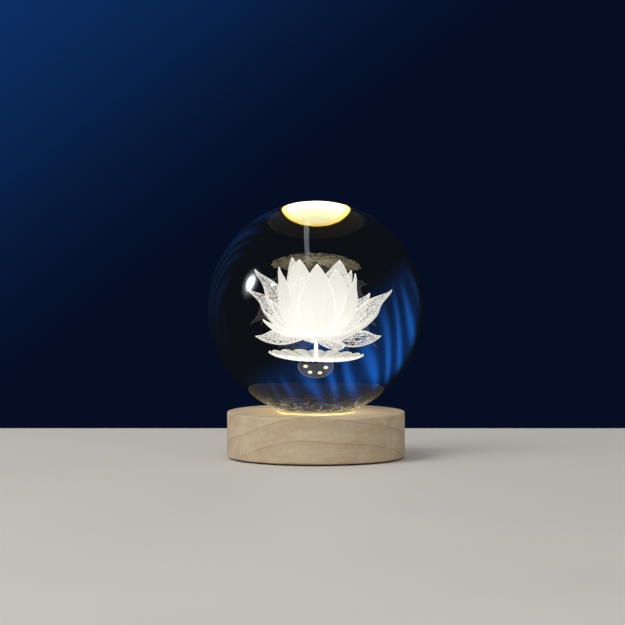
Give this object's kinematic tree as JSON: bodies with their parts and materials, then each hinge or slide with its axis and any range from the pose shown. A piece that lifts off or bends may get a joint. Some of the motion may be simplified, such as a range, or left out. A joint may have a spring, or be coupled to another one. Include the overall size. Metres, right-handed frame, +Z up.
{
  "type": "crystal ball lamp",
  "caption": "Small night lamp: a solid clear ball with a lotus engraved inside stands on a clear ring over a lit well in a round wooden base and lifts off.",
  "frame": {"origin": "centre of the footprint on the table, under the ball's axis", "axes": "+Z up through the ball's centre, -Y towards the viewer of the engraving, +Y towards the power inlet, +X to the viewer's right"},
  "size_m": [0.08, 0.08, 0.0955],
  "materials": {
    "optical_glass": "polished solid optical glass, clear and colourless",
    "engraving": "white laser engraving inside the glass, matt and finely speckled, lit from below",
    "wood": "fine sanded pale wood, bare, with soft grain arcs",
    "clear_silicone": "thin clear silicone, satin",
    "white_board": "white solder mask on a round circuit board, lit warm",
    "diode": "moulded white diode body with a yellow lens, glows warm white",
    "chip": "black chip resistor with tinned ends",
    "screw_steel": "zinc plated screw steel, lightly brushed",
    "green_board": "green solder mask on a small circuit board",
    "tinned_steel": "tinned socket shell, smooth",
    "black_plastic": "black socket tongue",
    "red_insulation": "red wire insulation, satin",
    "black_insulation": "black wire insulation, satin",
    "cover_board": "dark hard board cover, matt with a fine pressed texture",
    "rubber_pad": "dark rubber foot pad, matt"
  },
  "bodies": {
    "base": {"wooden_base": "wood", "seat_ring": "clear_silicone", "light_board": "white_board", "diode_1": "diode", "diode_2": "diode", "diode_3": "diode", "diode_4": "diode", "diode_5": "diode", "diode_6": "diode", "resistor_1": "chip", "resistor_2": "chip", "board_screw_1": "screw_steel", "board_screw_2": "screw_steel", "board_screw_3": "screw_steel", "inlet_board": "green_board", "inlet_screw_1": "screw_steel", "inlet_screw_2": "screw_steel", "socket_shell": "tinned_steel", "socket_tongue": "black_plastic", "power_wire_red": "red_insulation", "power_wire_black": "black_insulation", "bottom_cover": "cover_board", "cover_screw_1": "screw_steel", "cover_screw_2": "screw_steel", "cover_screw_3": "screw_steel", "foot_pad_1": "rubber_pad", "foot_pad_2": "rubber_pad", "foot_pad_3": "rubber_pad", "foot_pad_4": "rubber_pad"},
    "ball": {"crystal_ball": "optical_glass", "lotus_flower": "engraving", "lotus_stem": "engraving", "lily_pad": "engraving"}
  },
  "joints": [
    {"name": "ball_lift", "type": "slide", "parent": "base", "child": "ball", "axis": [0, 0, 1], "range_m": [0, 0.05]}
  ]
}
